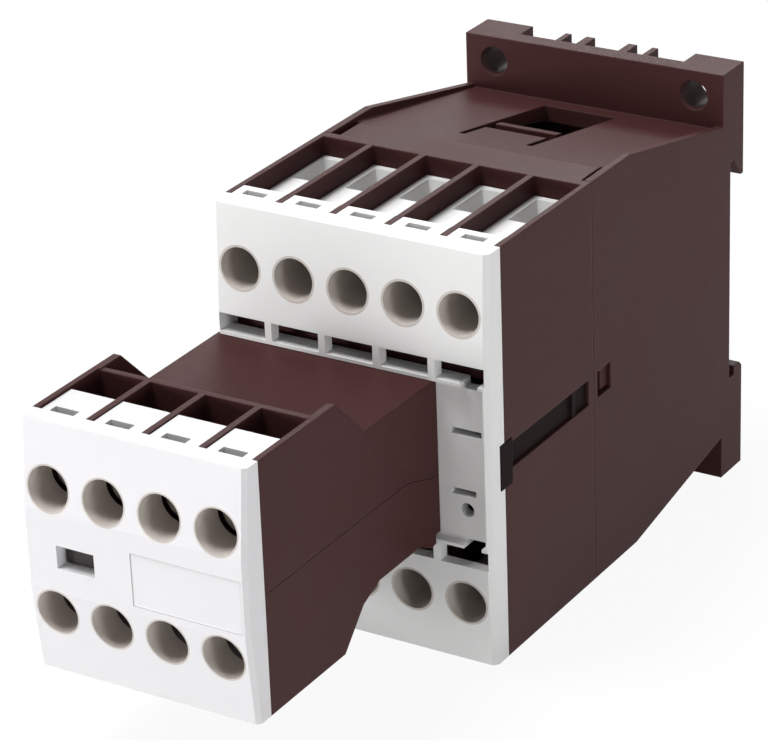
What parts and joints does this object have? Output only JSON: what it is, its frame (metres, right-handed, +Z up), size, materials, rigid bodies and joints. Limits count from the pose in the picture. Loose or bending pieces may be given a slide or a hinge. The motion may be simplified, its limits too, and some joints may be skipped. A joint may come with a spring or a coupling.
{
  "type": "contactor with front auxiliary contact block",
  "caption": "Rail-mounted contactor with sliding contact bridges, a sprung armature and an auxiliary contact block clipped on its front.",
  "frame": {"origin": "centre of the rear screw pattern, on the rear mounting plane", "axes": "+Z up, the front faces -Y, +X to the right seen from the front"},
  "size_m": [0.0452, 0.128, 0.068],
  "materials": {
    "brown_plastic": "moulded, fine texture",
    "pale_plastic": "moulded, fine texture",
    "white_plastic": "moulded, satin",
    "tube_plastic": "moulded, satin",
    "dark_plastic": "moulded, satin",
    "green_plastic": "moulded, satin",
    "bobbin_plastic": "glass filled",
    "enamelled_wire": "enamelled copper",
    "laminated_steel": "punched sheets, ground pole faces",
    "black_rubber": "matte",
    "spring_steel": "bright wire",
    "copper_alloy": "rolled strip with silver tips",
    "zinc_plated_steel": "zinc plated"
  },
  "bodies": {
    "housing": {"mounting_base": "brown_plastic", "contact_chamber": "brown_plastic", "terminal_cover": "pale_plastic", "shroud_plates": "pale_plastic", "driver_tubes": "tube_plastic", "wire_funnels": "pale_plastic", "side_clips": "dark_plastic", "magnet_core": "laminated_steel", "shading_rings": "copper_alloy", "core_pads": "black_rubber", "coil_bobbin": "bobbin_plastic", "coil_winding": "enamelled_wire", "coil_terminal_top": "copper_alloy", "coil_terminal_bottom": "copper_alloy", "return_springs": "spring_steel", "clamp_washers": "zinc_plated_steel", "terminal_screws_top": "zinc_plated_steel", "terminal_screws_bottom": "zinc_plated_steel", "rail_latch_spring": "spring_steel", "aux_housing_upper": "brown_plastic", "aux_housing_lower": "brown_plastic", "aux_front_cover": "white_plastic", "aux_shroud_plates": "white_plastic", "aux_driver_tubes": "tube_plastic", "aux_clamp_washers": "zinc_plated_steel", "aux_screws_top": "zinc_plated_steel", "aux_screws_bottom": "zinc_plated_steel", "fixed_contact_top_1": "copper_alloy", "fixed_contact_bottom_1": "copper_alloy", "fixed_contact_top_2": "copper_alloy", "fixed_contact_bottom_2": "copper_alloy", "fixed_contact_top_3": "copper_alloy", "fixed_contact_bottom_3": "copper_alloy", "fixed_contact_top_4": "copper_alloy", "fixed_contact_bottom_4": "copper_alloy", "aux_fixed_contact_top_1": "copper_alloy", "aux_fixed_contact_bottom_1": "copper_alloy", "aux_fixed_contact_top_2": "copper_alloy", "aux_fixed_contact_bottom_2": "copper_alloy", "aux_fixed_contact_top_3": "copper_alloy", "aux_fixed_contact_bottom_3": "copper_alloy", "aux_fixed_contact_top_4": "copper_alloy", "aux_fixed_contact_bottom_4": "copper_alloy"},
    "main_slider": {"contact_carrier": "dark_plastic", "armature": "laminated_steel", "armature_pin": "spring_steel", "contact_springs": "spring_steel"},
    "aux_slider": {"aux_carrier": "green_plastic", "aux_contact_springs": "spring_steel"},
    "latch": {"rail_latch": "dark_plastic"},
    "bridge_1": {"contact_bridge_1": "copper_alloy"},
    "aux_bridge_body_1": {"aux_bridge_1": "copper_alloy"},
    "bridge_2": {"contact_bridge_2": "copper_alloy"},
    "aux_bridge_body_2": {"aux_bridge_2": "copper_alloy"},
    "bridge_3": {"contact_bridge_3": "copper_alloy"},
    "aux_bridge_body_3": {"aux_bridge_3": "copper_alloy"},
    "bridge_4": {"contact_bridge_4": "copper_alloy"},
    "aux_bridge_body_4": {"aux_bridge_4": "copper_alloy"}
  },
  "joints": [
    {"name": "armature_stroke", "type": "slide", "parent": "housing", "child": "main_slider", "axis": [0, 1, 0], "range_m": [0, 0.004], "stiffness_N_per_m": 1500, "springref_m": -0.004},
    {"name": "aux_stroke", "type": "slide", "parent": "housing", "child": "aux_slider", "axis": [0, 1, 0], "range_m": [0, 0.004]},
    {"name": "rail_latch_slide", "type": "slide", "parent": "housing", "child": "latch", "axis": [0, 0, 1], "range_m": [0, 0.0015], "stiffness_N_per_m": 1000, "springref_m": -0.002, "deforming": ["rail_latch_spring"]},
    {"name": "bridge_lift_1", "type": "slide", "parent": "main_slider", "child": "bridge_1", "axis": [0, 1, 0], "range_m": [-0.001, 0]},
    {"name": "aux_bridge_lift_1", "type": "slide", "parent": "aux_slider", "child": "aux_bridge_body_1", "axis": [0, 1, 0], "range_m": [-0.001, 0]},
    {"name": "bridge_lift_2", "type": "slide", "parent": "main_slider", "child": "bridge_2", "axis": [0, 1, 0], "range_m": [-0.001, 0]},
    {"name": "aux_bridge_lift_2", "type": "slide", "parent": "aux_slider", "child": "aux_bridge_body_2", "axis": [0, 1, 0], "range_m": [-0.001, 0]},
    {"name": "bridge_lift_3", "type": "slide", "parent": "main_slider", "child": "bridge_3", "axis": [0, 1, 0], "range_m": [-0.001, 0]},
    {"name": "aux_bridge_lift_3", "type": "slide", "parent": "aux_slider", "child": "aux_bridge_body_3", "axis": [0, 1, 0], "range_m": [-0.001, 0]},
    {"name": "bridge_lift_4", "type": "slide", "parent": "main_slider", "child": "bridge_4", "axis": [0, 1, 0], "range_m": [-0.001, 0]},
    {"name": "aux_bridge_lift_4", "type": "slide", "parent": "aux_slider", "child": "aux_bridge_body_4", "axis": [0, 1, 0], "range_m": [-0.001, 0]}
  ],
  "couplings": [
    {"joint": "aux_stroke", "follows": "armature_stroke", "ratio": 1},
    {"joint": "bridge_lift_1", "follows": "armature_stroke", "ratio": -0.25},
    {"joint": "aux_bridge_lift_1", "follows": "armature_stroke", "ratio": -0.25},
    {"joint": "bridge_lift_2", "follows": "armature_stroke", "ratio": -0.25},
    {"joint": "aux_bridge_lift_2", "follows": "armature_stroke", "ratio": -0.25},
    {"joint": "bridge_lift_3", "follows": "armature_stroke", "ratio": -0.25},
    {"joint": "aux_bridge_lift_3", "follows": "armature_stroke", "ratio": -0.25},
    {"joint": "bridge_lift_4", "follows": "armature_stroke", "ratio": -0.25},
    {"joint": "aux_bridge_lift_4", "follows": "armature_stroke", "ratio": -0.25}
  ]
}
